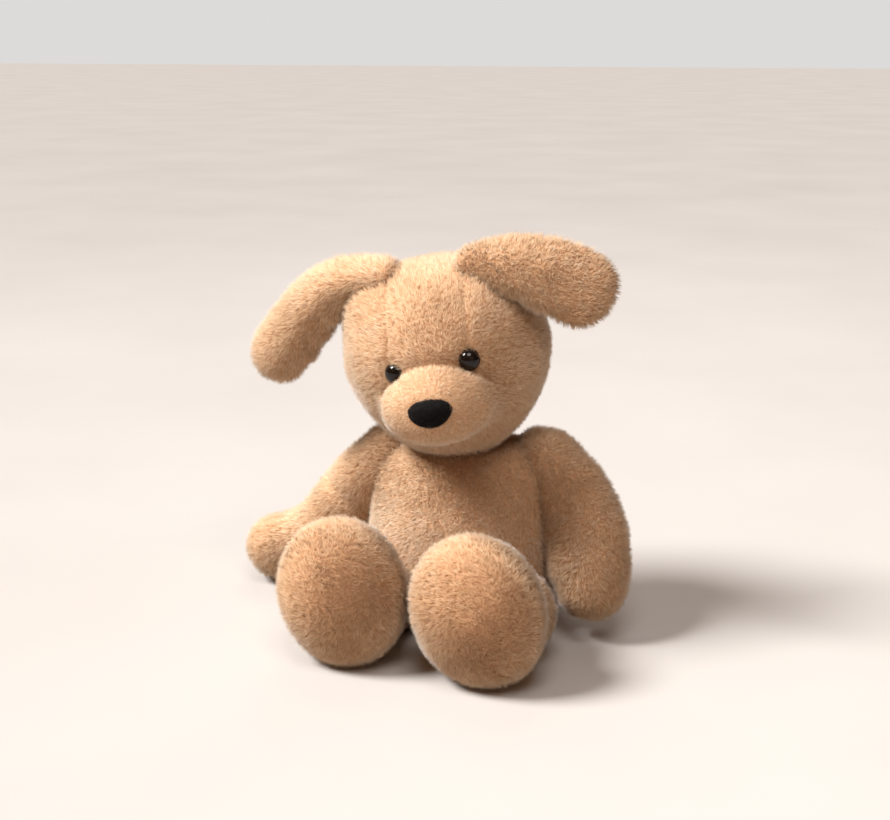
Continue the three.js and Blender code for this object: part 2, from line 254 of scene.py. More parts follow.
def largest_part(thing):
    """Keeps only the outer body of a remeshed form."""
    work = bmesh.new()
    work.from_mesh(thing.data)
    left = set(work.verts)
    parts = []
    while left:
        stack = [left.pop()]
        part = list(stack)
        while stack:
            for edge in stack.pop().link_edges:
                for v in edge.verts:
                    if v in left:
                        left.remove(v)
                        stack.append(v)
                        part.append(v)
        parts.append(part)
    parts.sort(key=len)
    for part in parts[:-1]:
        bmesh.ops.delete(work, geom=part, context="VERTS")
    work.to_mesh(thing.data)
    work.free()
    thing.data.update()


def relax(thing, times, share=1.0):
    """Evens out a surface, with a push back so that it keeps its size.

    share is how much of it each point gets, from 0 to 1.
    """
    mesh = thing.data
    pairs = np.empty(len(mesh.edges) * 2, np.int32)
    mesh.edges.foreach_get("vertices", pairs)
    a, b = pairs[::2], pairs[1::2]
    points = points_of(thing)
    count = np.bincount(np.r_[a, b], minlength=len(points))[:, None].astype(float)
    for i in range(times * 2):
        total = np.zeros_like(points)
        for axis in range(3):
            total[:, axis] = np.bincount(
                np.r_[a, b], weights=np.r_[points[b, axis], points[a, axis]], minlength=len(points)
            )
        step = 0.5 if i % 2 == 0 else -0.52
        points = points + (total / count - points) * step * share
    set_points(thing, points)


def press(thing):
    """A short cloth simulation under inner pressure, which rounds and settles the sewn form."""
    before = points_of(thing)
    cloth = thing.modifiers.new("press", "CLOTH")
    cloth.settings.quality = 5
    cloth.settings.mass = 0.2
    cloth.settings.tension_stiffness = 15
    cloth.settings.compression_stiffness = 15
    cloth.settings.shear_stiffness = 5
    cloth.settings.bending_stiffness = 0.8
    cloth.settings.use_pressure = True
    cloth.settings.uniform_pressure_force = CLOTH_PRESSURE
    cloth.settings.effector_weights.gravity = 0
    cloth.point_cache.frame_start = 1
    cloth.point_cache.frame_end = CLOTH_FRAMES
    for number in range(1, CLOTH_FRAMES + 1):
        bpy.context.scene.frame_set(number)
    bake_modifiers(thing)
    bpy.context.scene.frame_set(1)
    moved = points_of(thing) - before
    size = np.linalg.norm(moved, axis=1, keepdims=True)
    set_points(thing, before + moved * np.minimum(1, CLOTH_REACH / np.maximum(size, 1e-6)))


def soft_form(name, parts, smooth=6, voxel=FORM_VOXEL):
    """One closed skin round all the parts."""
    points, faces, start = [], [], 0
    for some, more in parts:
        points.append(some)
        faces += [[i + start for i in f] for f in more]
        start += len(some)
    thing = mesh_object(name, np.vstack(points), faces)
    remesh = thing.modifiers.new("remesh", "REMESH")
    remesh.mode = "VOXEL"
    remesh.voxel_size = voxel * MM
    bake_modifiers(thing)
    largest_part(thing)
    relax(thing, smooth)
    press(thing)
    relax(thing, 2)
    thing.modifiers.new("finer", "SUBSURF").levels = 1
    bake_modifiers(thing)
    shade_smooth(thing)
    return thing


def sink(thing, distance, depth, width):
    """Pulls the surface in along a line of stitching. distance gives each point's way to it."""
    points = points_of(thing)
    away = distance(points)
    fall = depth * np.exp(-((away / width) ** 2))
    set_points(thing, points - normals_of(thing) * fall[:, None])


def narrow_chin(thing):
    """Draws the cheeks in towards the chin."""
    p = to_head(points_of(thing))
    low = np.clip((58 - p[:, 2]) / 58, 0, 1)
    p[:, 0] *= 1 - 0.13 * low * np.clip((p[:, 1] + 75) / 45, 0, 1)
    lift = np.clip((-25 - p[:, 1]) / 25, 0, 1) * np.maximum(0, 34 - p[:, 2])
    p[:, 2] += 0.24 * lift
    set_points(thing, from_head(p))


def back_seam(points):
    return np.hypot(points[:, 0], np.maximum(0, 20 - points[:, 1]))


def low_muzzle(points):
    """1 at the sides and underneath of the muzzle's seam, where it melts into the cheeks."""
    below = np.clip((52 - to_head(points)[:, 2]) / 10, 0, 1)
    return below * np.exp(-((muzzle_seam(points) / 9) ** 2))


def tilt_foot(thing, centre, degrees):
    """Leans a foot over to one side on the end of its leg."""
    points = points_of(thing)
    share = np.clip((-62 - points[:, 1]) / 22, 0, 1)
    angle = np.radians(degrees) * share * share * (3 - 2 * share)
    x, z = points[:, 0] - centre[0], points[:, 2] - centre[2]
    points[:, 0] = centre[0] + x * np.cos(angle) + z * np.sin(angle)
    points[:, 2] = centre[2] + z * np.cos(angle) - x * np.sin(angle)
    set_points(thing, points)


def rest_on_floor(thing):
    points = points_of(thing)
    points[:, 2] = np.maximum(points[:, 2], FLOOR_CLEARANCE)
    set_points(thing, points)


# ---- Seams: how far each point is from the nearest line of stitching ----


def skull_out(p):
    """How far a point in the head's frame is outside the skull, roughly."""
    return (np.linalg.norm((p - SKULL) / SKULL_RADII, axis=1) - 1) * 60


def muzzle_out(p):
    return (np.linalg.norm((p - MUZZLE) / MUZZLE_RADII, axis=1) - 1) * 30


def muzzle_side(points):
    """Above 0 on the muzzle's panel, 0 at its seam and below 0 on the rest of the head."""
    p = to_head(points)
    return skull_out(p) - muzzle_out(p)


def muzzle_seam(points):
    return np.abs(muzzle_side(points)) / 1.4


def bridge_seam(points):
    """The top of the muzzle's seam, from eye to eye."""
    p = to_head(points)
    return np.hypot(muzzle_seam(points), np.maximum(0, 50 - p[:, 2]) * 0.8)


def elbow_crease(points):
    """The fold on the inside of the spread arm's elbow."""
    way = unit(np.array([-0.5, 0.05, -0.86]))
    return np.hypot((points - [-80, 4, 72]) @ way, np.maximum(0, points[:, 1] - 4) * 0.5)


def sole_seam(points):
    return np.abs(points[:, 1] - SOLE_Y)


def gusset_seams(points):
    """From the muzzle over the crown and down the back of the head."""
    p = to_head(points)
    above = (p - MUZZLE) @ GUSSET_TILT
    sides = np.hypot(np.abs(p[:, 0]) - SEAM_X, np.minimum(above, 0))
    return np.where(muzzle_side(points) > 0, 1e3, sides)


def head_seams(points):
    return np.minimum(gusset_seams(points) + 1.2, bridge_seam(points))


def eye_rims(points):
    p = to_head(points)
    return np.minimum.reduce([np.linalg.norm(p - eye, axis=1) for eye in EYES])


# ---- Combing: which way the pile leans ----


def along(path):
    def flow(points, normals):
        best = np.full(len(points), 1e9)
        out = np.zeros_like(points)
        for a, b in zip(path[:-1], path[1:]):
            way = b - a
            t = np.clip(((points - a) @ way) / (way @ way), 0, 1)[:, None]
            far = np.linalg.norm(points - (a + t * way), axis=1)
            pick = far < best - 1e-6
            best = np.where(pick, far, best)
            out[pick] = unit(way)
        return out

    return flow


def down(points, normals):
    return np.tile([0.0, 0.15, -1.0], (len(points), 1))


def from_nose(points, normals):
    p = to_head(points)
    out = unit(p - np.array([0, -92, 40.0]))
    out[:, 2] -= 0.25
    return out @ HEAD.T


def whirl(centre, spin):
    def flow(points, normals):
        away = points - centre
        away[:, 1] = 0
        round_it = np.cross(normals, unit(away))
        return unit(away) + spin * round_it

    return flow


# ---- Pile ----


def scatter(skin, density, rng):
    """Random roots on a skin: points and normals."""
    mesh = skin.data
    mesh.calc_loop_triangles()
    corners = np.empty(len(mesh.loop_triangles) * 3, np.int32)
    mesh.loop_triangles.foreach_get("vertices", corners)
    corners = corners.reshape(-1, 3)
    points, normals = points_of(skin), normals_of(skin)
    a, b, c = (points[corners[:, i]] for i in range(3))
    area = np.linalg.norm(np.cross(b - a, c - a), axis=1) / 2
    count = int(area.sum() * density)
    pick = rng.choice(len(area), size=count, p=area / area.sum())
    u, v = rng.random(count), rng.random(count)
    flip = u + v > 1
    u[flip], v[flip] = 1 - u[flip], 1 - v[flip]
    weights = np.stack([1 - u - v, u, v], 1)[:, :, None]
    chosen = corners[pick]
    return (points[chosen] * weights).sum(1), unit((normals[chosen] * weights).sum(1))


def inside(points, covers, depth):
    """Which points lie deeper than depth inside any of the covers."""
    hidden = np.zeros(len(points), bool)
    for tree, lo, hi in covers:
        box = ((points > lo + depth) & (points < hi - depth)).all(1) & ~hidden
        for i in np.flatnonzero(box):
            spot, normal, _, far = tree.find_nearest(Vector(points[i]))
            if far > depth and (Vector(points[i]) - spot).dot(normal) < 0:
                hidden[i] = True
    return hidden


def cover_of(thing):
    points = points_of(thing)
    faces = [list(p.vertices) for p in thing.data.polygons]
    return BVHTree.FromPolygons(points.tolist(), faces), points.min(0), points.max(0)


def clumped(roots, rng):
    """Each fibre's clump number and the middle of that clump."""
    count = max(1, len(roots) // PER_CLUMP)
    seeds = roots[rng.choice(len(roots), size=count, replace=False)]
    tree = KDTree(count)
    for i, s in enumerate(seeds):
        tree.insert(s, i)
    tree.balance()
    number = np.array([tree.find(r)[1] for r in roots])
    return number, seeds[number]


def fibres(name, roots, normals, tips, radius, tone, material):
    """Closed three-sided fibres, tapering to a point, in one mesh."""
    count = len(roots)
    way = unit(tips - roots)
    side = unit(np.cross(way, np.tile([0.31, 0.77, 0.55], (count, 1))))
    other = np.cross(way, side)
    points = np.empty((count, 4, 3))
    soft = np.empty((count, 4, 3))
    for i in range(3):
        angle = 2 * math.pi * i / 3
        out = side * math.cos(angle) + other * math.sin(angle)
        points[:, i] = roots + out * radius[:, None]
        soft[:, i] = unit(out * 0.55 + normals * 0.75)
    points[:, 3] = tips
    soft[:, 3] = unit(way * 0.35 + normals * 0.75)
    points[:, :, 2] = np.maximum(points[:, :, 2], FIBRE_CLEARANCE)
    base = np.arange(count)[:, None, None] * 4
    faces = (base + np.array([[0, 1, 3], [1, 2, 3], [2, 0, 3], [2, 1, 0]])).reshape(-1)
    mesh = bpy.data.meshes.new(name)
    mesh.vertices.add(count * 4)
    mesh.vertices.foreach_set("co", (points * MM).astype(np.float32).ravel())
    mesh.loops.add(len(faces))
    mesh.loops.foreach_set("vertex_index", faces.astype(np.int32))
    mesh.polygons.add(len(faces) // 3)
    mesh.polygons.foreach_set("loop_start", np.arange(0, len(faces), 3, dtype=np.int32))
    mesh.polygons.foreach_set("use_smooth", np.ones(len(faces) // 3, bool))
    mesh.update(calc_edges=True)
    across = np.stack([tone - 0.012, tone, tone + 0.012, tone], 1)
    up = np.tile([0.02, 0.02, 0.02, 0.98], (count, 1))
    place = np.stack([across, up], 2).reshape(-1, 2)[faces]
    mesh.uv_layers.new(name=PILE_MAP).data.foreach_set("uv", place.astype(np.float32).ravel())
    mesh.normals_split_custom_set_from_vertices(soft.reshape(-1, 3))
    mesh.materials.append(material)
    made = bpy.data.objects.new(name, mesh)
    bpy.context.scene.collection.objects.link(made)
    return made


def grow(
    skin, body, seed, flow, density, length, seams, panels, covers, bare, spare=None, comb=0.5, shade=None
):
    """Grows the pile of one skin, as one piece for each panel of cloth.

    length is a number or a function of the roots. panels maps a name to (test, slot).
    No pile grows deeper than bare inside the covers, where no joint brings it into view.
    shade gives how much paler the pile is at each root; on the belly this is painted light and on the soles
    painted shade.
    """
    rng = np.random.default_rng(seed)
    roots, normals = scatter(skin, density, rng)
    keep = ~inside(roots, covers, bare)
    if spare is not None:
        keep &= ~spare(roots)
    roots, normals = roots[keep], normals[keep]
    count = len(roots)
    number, middle = clumped(roots, rng)
    per_clump = rng.normal(size=(number.max() + 1, 3))
    clump_tone = rng.random(number.max() + 1)
    lean = unit(flow(roots, normals))
    lean = lean - normals * dot(lean, normals)
    swirl = np.cross(normals, lean) * (wave(roots, 28, rng) * 0.7)[:, None]
    jitter = rng.normal(size=(count, 3)) * 0.26 + per_clump[number] * 0.2
    way = unit(normals * 0.9 + (lean + swirl) * comb + jitter)
    reach = length(roots) if callable(length) else np.full(count, float(length))
    by_seam = np.exp(-((seams(roots) / SEAM_REACH) ** 2))
    reach = reach * rng.uniform(0.72, 1.12, count) * (1 - 0.45 * by_seam)
    gather = (middle - roots) * CLUMP_PULL
    tips = roots + way * reach[:, None] + gather
    rise = dot(tips - roots, normals)
    tips += normals * np.maximum(0, 0.35 * reach[:, None] - rise)
    tone = 0.5 + TONE_BY_CLUMP * (clump_tone[number] - 0.5) + TONE_BY_FIBRE * (rng.random(count) - 0.5)
    tone += TONE_BY_PLACE * wave(roots, 40, rng) + TONE_AT_SEAM * by_seam
    if shade is not None:
        tone += shade(roots)
    tone = np.clip(tone, 0.03, 0.97)
    radius = FIBRE_RADIUS * rng.uniform(0.8, 1.2, count) * np.clip(reach / 4, 0.75, 1.1)
    roots = roots - normals * 0.4
    left = np.ones(count, bool)
    for name, (test, slot) in panels.items():
        mine = left & test(roots)
        left &= ~mine
        if not mine.any():
            continue
        piece = fibres(
            name, roots[mine], normals[mine], tips[mine], radius[mine], tone[mine], PILE[slot]
        )
        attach(piece, body)


# ---- Materials ----


def new_material(name, rough, sheen=0.0, specular=0.3):
    material = bpy.data.materials.new(name)
    material.use_nodes = True
    shader = material.node_tree.nodes["Principled BSDF"]
    shader.inputs["Roughness"].default_value = rough
    shader.inputs["Sheen Weight"].default_value = sheen
    shader.inputs["Sheen Roughness"].default_value = 0.4
    shader.inputs["Specular IOR Level"].default_value = specular
    return material, material.node_tree, shader


def ramp(tree, source, stops):
    node = tree.nodes.new("ShaderNodeValToRGB")
    tree.links.new(source, node.inputs["Fac"])
    elements = node.color_ramp.elements
    while len(elements) < len(stops):
        elements.new(0.5)
    for element, (place, colour) in zip(elements, stops):
        element.position = place
        element.color = (*colour, 1)
    return node.outputs["Color"]


def multiply(tree, a, b):
    node = tree.nodes.new("ShaderNodeMix")
    node.data_type = "RGBA"
    node.blend_type = "MULTIPLY"
    node.inputs["Factor"].default_value = 1
    tree.links.new(a, node.inputs[6])
    tree.links.new(b, node.inputs[7])
    return node.outputs[2]


def pile_material(name, dark, mid, pale, root, sheen=0.4):
    """Colour by fibre across the map, and from root to tip up it."""
    material, tree, shader = new_material(name, 0.85, sheen, 0.1)
    place = tree.nodes.new("ShaderNodeUVMap")
    place.uv_map = PILE_MAP
    split = tree.nodes.new("ShaderNodeSeparateXYZ")
    tree.links.new(place.outputs["UV"], split.inputs["Vector"])
    tone = ramp(tree, split.outputs["X"], [(0.0, dark), (0.5, mid), (1.0, pale)])
    rise = ramp(tree, split.outputs["Y"], [(0.0, root), (0.5, (0.87, 0.77, 0.67)), (0.95, (1, 1, 1))])
    tree.links.new(multiply(tree, tone, rise), shader.inputs["Base Color"])
    return material


def noisy_material(name, low, high, scale, rough, sheen=0.0, bump=0.0, specular=0.3):
    """Two tones mixed by fine noise, with a slight bump."""
    material, tree, shader = new_material(name, rough, sheen, specular)
    where = tree.nodes.new("ShaderNodeTexCoord")
    noise = tree.nodes.new("ShaderNodeTexNoise")
    noise.inputs["Scale"].default_value = scale
    noise.inputs["Detail"].default_value = 4
    tree.links.new(where.outputs["Object"], noise.inputs["Vector"])
    tree.links.new(ramp(tree, noise.outputs["Fac"], [(0.3, low), (0.7, high)]), shader.inputs["Base Color"])
    if bump:
        lift = tree.nodes.new("ShaderNodeBump")
        lift.inputs["Strength"].default_value = bump
        lift.inputs["Distance"].default_value = 0.0006
        tree.links.new(noise.outputs["Fac"], lift.inputs["Height"])
        tree.links.new(lift.outputs["Normal"], shader.inputs["Normal"])
    return material


PILE = {
    "fur": pile_material(
        "fur_pile", (0.57, 0.36, 0.21), (0.80, 0.59, 0.40), (0.89, 0.74, 0.58), (0.58, 0.37, 0.25)
    ),
    "muzzle_fur": pile_material(
        "muzzle_pile", (0.74, 0.52, 0.34), (0.84, 0.65, 0.46), (0.90, 0.76, 0.60), (0.66, 0.45, 0.32)
    ),
}
FLOCK = pile_material(
    "flock_pile", (0.003, 0.003, 0.003), (0.007, 0.006, 0.006), (0.03, 0.028, 0.027), (0.4, 0.4, 0.4), 0.03
)
FUR_CLOTH = noisy_material("fur_cloth", (0.43, 0.23, 0.12), (0.56, 0.33, 0.18), 900, 0.95, 0.2, 0.4)
WADDING = noisy_material("wadding", (0.78, 0.76, 0.72), (0.9, 0.89, 0.86), 400, 1.0, 0.2, 0.6)
PELLET_CLOTH = noisy_material("pellet_cloth", (0.62, 0.6, 0.55), (0.74, 0.72, 0.67), 700, 0.8, 0.0, 0.5)
WASHER = noisy_material("washer_plastic", (0.74, 0.74, 0.72), (0.82, 0.82, 0.8), 300, 0.45)
LABEL = noisy_material("label_tape", (0.8, 0.79, 0.76), (0.9, 0.89, 0.87), 1500, 0.7, 0.1, 0.3)
EYE = noisy_material("eye_plastic", (0.003, 0.002, 0.0015), (0.010, 0.006, 0.004), 500, 0.07, specular=0.3)
NOSE = noisy_material("nose_flock", (0.003, 0.003, 0.003), (0.022, 0.02, 0.02), 2600, 0.95, 0.15, 0.5, 0.1)


# ---- The skins ----


def panels_of(prefix, *names):
    return [f"{prefix}_{n}" for n in names]


def cushion(name, body, slot, material, points, faces, nodes):
    """A soft inner body made from those faces, slightly lumpy."""
    inner = mesh_object(name, points, faces)
    remesh = inner.modifiers.new("remesh", "REMESH")
    remesh.mode = "VOXEL"
    remesh.voxel_size = FORM_VOXEL * MM
    bake_modifiers(inner)
    largest_part(inner)
    rng = np.random.default_rng(len(name))
    points = points_of(inner)
    set_points(inner, points + normals_of(inner) * wave(points, 14, rng)[:, None] * 0.5)
    shade_smooth(inner)
    inner.data.materials.append(material)
    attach(inner, body)
    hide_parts(*nodes)
    return inner


def stuff(skin, name, body, nodes):
    """The wadding under a skin."""
    points = points_of(skin) - normals_of(skin) * WADDING_INSET
    faces = [list(p.vertices) for p in skin.data.polygons]
    cushion(name, body, "wadding", WADDING, points, faces, nodes)


def dress(thing, body, nodes):
    """Gives a skin its cloth and its body, and hides the CAD panels that it stands for."""
    thing.data.materials.clear()
    thing.data.materials.append(FUR_CLOTH)
    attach(thing, body)
    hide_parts(*nodes)


TORSO_PANELS = ["torso_front_panel", "torso_back_left_panel", "torso_back_right_panel"]
HEAD_PANELS = ["head_left_panel", "head_right_panel", "forehead_gusset", "muzzle_panel"]
LEG_PARTS = ("leg_outer_panel", "leg_inner_panel", "sole", "leg_stuffing")

torso = soft_form("torso_skin", hull(cad(*TORSO_PANELS) + [
    ball((0, 0, 92), (44, 34, 28)),
    ball((38, 4, 92), (25, 26, 23)),
    ball((-35, 5, 88), (25, 26, 22)),
]))
head = soft_form("head_skin", hull(cad(*HEAD_PANELS[:3]) + [
    head_ball((31, -15, 87), (26, 26, 26)),
    head_ball((-31, -15, 87), (26, 26, 26)),
]) + hull(cad("muzzle_panel")) + [
    head_ball((20, -47, 33), (18, 19, 18)),
    head_ball((-20, -47, 33), (18, 19, 18)),
], smooth=8)
narrow_chin(head)
for _ in range(3):
    relax(head, 10, low_muzzle(points_of(head))[:, None])
EAR_PARTS = ("front_panel", "back_panel", "wadding")
ARM_PARTS = ("front_panel", "back_panel", "stuffing")
left_ear = soft_form("left_ear_skin", cad(*panels_of("left_ear", *EAR_PARTS)) + [
    head_ball((36, -27, 104), (15, 9, 13)),
    head_ball((52, -33, 101), (17, 9, 15)),
    head_ball((68, -35, 94), (17, 9, 16)),
])
right_ear = soft_form("right_ear_skin", cad(*panels_of("right_ear", *EAR_PARTS)) + [
    head_ball((-36, -20, 107), (12, 11, 11)),
    head_ball((-54, -17, 104), (13, 10, 12)),
    head_ball((-68, -14, 97), (14, 11, 13)),
    head_ball((-82, -11, 86), (14, 11, 14)),
    head_ball((-95, -9, 73), (14, 11, 13)),
    head_ball((-106, -8, 64), (13, 10, 12)),
])
left_arm = soft_form("left_arm_skin", cad(*panels_of("left_arm", *ARM_PARTS))
    + rod((54, 4, 103), (72, -2, 78), 20, 20) + rod((72, -2, 78), (80, -11, 46), 20, 20))
right_arm = soft_form("right_arm_skin", cad(*panels_of("right_arm", *ARM_PARTS))
    + rod((-52, 6, 98), (-78, 10, 68), 19, 22) + rod((-78, 10, 68), (-100, 8, 38), 22, 21)
    + [ball((-136, 6, 24), (20, 19, 20))])
left_leg = soft_form("left_leg_skin", cad(*panels_of("left", *LEG_PARTS)) + [
    ball((54, -62, 31), (22, 22, 23)),
])
right_leg = soft_form("right_leg_skin", cad(*panels_of("right", *LEG_PARTS)))
tilt_foot(left_leg, FOOT, -16)
tilt_foot(right_leg, FOOT * MIRROR, -3)
tail = soft_form("tail_skin", cad("tail_left_panel", "tail_right_panel", "tail_stuffing"))

SKINS = [torso, head, left_ear, right_ear, left_arm, right_arm, left_leg, right_leg, tail]
sink(head, gusset_seams, 0.7, 1.8)
sink(torso, back_seam, 1.0, 2.4)
sink(head, bridge_seam, 2.6, 3.0)
sink(right_arm, elbow_crease, 1.8, 4.0)
for leg in (left_leg, right_leg):
    sink(leg, sole_seam, 1.0, 2.2)
sink(head, eye_rims, 1.8, 8.0)
for skin in SKINS:
    rest_on_floor(skin)

dress(torso, "torso", TORSO_PANELS)
dress(head, "head", HEAD_PANELS)
dress(left_ear, "left_ear", panels_of("left_ear", *EAR_PARTS[:2]))
dress(right_ear, "right_ear", panels_of("right_ear", *EAR_PARTS[:2]))
dress(left_arm, "left_arm", panels_of("left_arm", *ARM_PARTS[:2]))
dress(right_arm, "right_arm", panels_of("right_arm", *ARM_PARTS[:2]))
dress(left_leg, "left_leg", panels_of("left", *LEG_PARTS[:3]))
dress(right_leg, "right_leg", panels_of("right", *LEG_PARTS[:3]))
dress(tail, "tail", ["tail_left_panel", "tail_right_panel"])

stuff(torso, "torso_wadding", "torso", ["torso_stuffing"])
stuff(head, "head_wadding", "head", ["head_stuffing"])
stuff(tail, "tail_wadding", "tail", ["tail_stuffing"])
for side, ear, arm, leg in (
    ("left", left_ear, left_arm, left_leg),
    ("right", right_ear, right_arm, right_leg),
):
    stuff(ear, f"{side}_ear_pad", f"{side}_ear", [f"{side}_ear_wadding"])
    stuff(arm, f"{side}_arm_wadding", f"{side}_arm", [f"{side}_arm_stuffing"])
    stuff(leg, f"{side}_leg_wadding", f"{side}_leg", [f"{side}_leg_stuffing"])
cushion("neck_wadding", "neck", "wadding", WADDING, *cad("neck_wad")[0], ["neck_wad"])
pouch = cushion("pellet_bag", "torso", "pellets", PELLET_CLOTH, *cad("pellet_pouch")[0], ["pellet_pouch"])

# ---- Pile on each skin ----

COVERS = {skin.name: cover_of(skin) for skin in SKINS}


def covers_but(*own):
    return [c for name, c in COVERS.items() if name not in own]


def everywhere(points):
    return np.ones(len(points), bool)


def no_seam(points):
    return np.full(len(points), 1e3)


def head_length(points):
    return np.interp(muzzle_side(points), [-2, 8], [HEAD_LENGTH, MUZZLE_LENGTH])


def head_shade(points):
    """The muzzle's edge takes the colour of the cheeks."""
    side = muzzle_side(points)
    return np.where(side > 0, -0.22 * np.exp(-side / 8), 0)


def belly_painted_light(points):
    """The round of the belly is paler: painted light on its pile."""
    return 0.36 * np.exp(-(((points[:, 2] - 52) / 26) ** 2))


def nose_room(points):
    """No pile grows under the nose."""
    p = to_head(points)
    return (np.abs(p[:, 0]) < 11) & (np.abs(p[:, 2] - 41) < 6.5) & (p[:, 1] < -75)


# The torso's pile is painted paler on the belly, as painted light.
grow(torso, "torso", 11, down, 2.3, 3.8, back_seam, {
    "torso_front_pile": (lambda p: p[:, 1] < 2, "fur"),
    "torso_back_left_pile": (lambda p: p[:, 0] > 0, "fur"),
    "torso_back_right_pile": (everywhere, "fur"),
}, covers_but("torso_skin"), 10, shade=belly_painted_light)
grow(head, "head", 12, from_nose, 2.5, head_length, head_seams, {
    "muzzle_pile": (lambda p: muzzle_side(p) > 0, "muzzle_fur"),
    "forehead_pile": (
        lambda p: (np.abs(to_head(p)[:, 0]) < SEAM_X) & ((to_head(p) - MUZZLE) @ GUSSET_TILT > 0),
        "fur",
    ),
    "head_left_pile": (lambda p: to_head(p)[:, 0] > 0, "fur"),
    "head_right_pile": (everywhere, "fur"),
}, covers_but("head_skin"), 9, nose_room, shade=head_shade)
for name, skin, path, seed, bare in (
    ("left_ear", left_ear, from_head(LEFT_EAR), 13, 9),
    ("right_ear", right_ear, from_head(RIGHT_EAR), 14, 9),
    ("left_arm", left_arm, LEFT_ARM, 15, 16),
    ("right_arm", right_arm, RIGHT_ARM, 16, 16),
    ("tail", tail, TAIL, 17, 10),
):
    grow(skin, name, seed, along(path), LIMB_DENSITY, LIMB_LENGTH, no_seam, {
        f"{name}_pile": (everywhere, "fur"),
    }, covers_but(skin.name), bare)
for name, skin, side, seed in (("left", left_leg, 1, 18), ("right", right_leg, -1, 19)):
    sole = FOOT * np.array([side, 1, 1])
    leg_flow = along(LEG * np.array([side, 1, 1]))
    sole_flow = whirl(sole, 0.9 * side)

    def flow(points, normals, leg_flow=leg_flow, sole_flow=sole_flow):
        on_sole = (points[:, 1] < SOLE_Y + 6)[:, None]
        return np.where(on_sole, sole_flow(points, normals), leg_flow(points, normals))

    def sole_painted_shade(points, sole=sole):
        """The sole is darker, most of all in its middle: painted shade for the light that the forward-facing
        sole misses, and partly the darker tone of its whirled fur.
        """
        away = np.hypot(points[:, 0] - sole[0], points[:, 2] - sole[2])
        return np.where(points[:, 1] < SOLE_Y, -0.22 - 0.26 * np.exp(-((away / 26) ** 2)), 0)

    grow(skin, f"{name}_leg", seed, flow, LIMB_DENSITY, LEG_LENGTH, no_seam, {
        f"{name}_sole_pile": (lambda p: p[:, 1] < SOLE_Y, "fur"),
        f"{name}_leg_pile": (everywhere, "fur"),
    }, covers_but(skin.name), 30, comb=0.7, shade=sole_painted_shade)


# ---- Eyes and nose ----


def lathe_dome(radius, height, rings=24, around=48):
    """A closed dome on a short rim, about +Z, as points and faces."""
    rise = np.linspace(0, math.pi / 2, rings)[1:]
    turns = np.linspace(0, 2 * math.pi, around, endpoint=False)
    profile = [(radius * math.sin(a), height * math.cos(a)) for a in rise]
    profile += [(radius, -1.2), (radius * 0.55, -2.4)]
    points = [(0, 0, height)]
    for r, z in profile:
        points += [(r * math.cos(t), r * math.sin(t), z) for t in turns]
    points.append((0, 0, -2.4))
    faces = [(0, 1 + i, 1 + (i + 1) % around) for i in range(around)]
    for ring in range(len(profile) - 1):
        a = 1 + ring * around
        for i in range(around):
            j = (i + 1) % around
            faces.append((a + i, a + around + i, a + around + j, a + j))
    last = 1 + (len(profile) - 1) * around
    faces += [(last + i, len(points) - 1, last + (i + 1) % around) for i in range(around)]
    return np.array(points), faces


for side, spot in zip(("left", "right"), EYES):
    points, faces = lathe_dome(EYE_RADIUS, EYE_HEIGHT)
    turn = np.array(Vector(unit(spot - SKULL)).to_track_quat("Z", "Y").to_matrix())
    points[:, 2] -= EYE_DEPTH[side]
    world = from_head(points @ turn.T + spot)
    eye = mesh_object(f"{side}_eye_dome", world, faces)
    shade_smooth(eye)
    eye.data.materials.append(EYE)
    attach(eye, "head")
    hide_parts(f"{side}_eye")

points, faces = ball((0, 0, 0), (1, 1, 1))
narrow = 0.90 + 0.12 * np.clip(points[:, 2], -1, 1)
points = points * NOSE_RADII * np.stack([narrow, np.ones(len(points)), np.ones(len(points))], 1)
points[:, 2] = np.where(points[:, 2] > 0, points[:, 2] * 0.86, points[:, 2])
nose = mesh_object("nose_pad", from_head(points + to_head(node_middle("nose"))), faces)
nose.modifiers.new("finer", "SUBSURF").levels = 1
bake_modifiers(nose)
shade_smooth(nose)
nose.data.materials.append(NOSE)
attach(nose, "head")
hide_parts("nose")
flock_rng = np.random.default_rng(31)
roots, normals = scatter(nose, FLOCK_DENSITY, flock_rng)
tips = roots + unit(normals + flock_rng.normal(size=roots.shape) * 0.3) * FLOCK_LENGTH
thin = np.full(len(roots), 0.12)
flock_tone = flock_rng.uniform(0.05, 0.95, len(roots))
flock = fibres("nose_flock_pile", roots, normals, tips, thin, flock_tone, FLOCK)
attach(flock, "head")

# ---- Care label: a folded loop of blank tape, curling down a little ----



def half_loop(width, turns):
    """One side of the fold, from the seam out round the end and back."""
    first = -width if turns[0] < 0 else width
    bend = [(LABEL_OUT + width * math.cos(t), width * math.sin(t)) for t in turns]
    return [(0.0, first)] + bend + [(0.0, -first)]


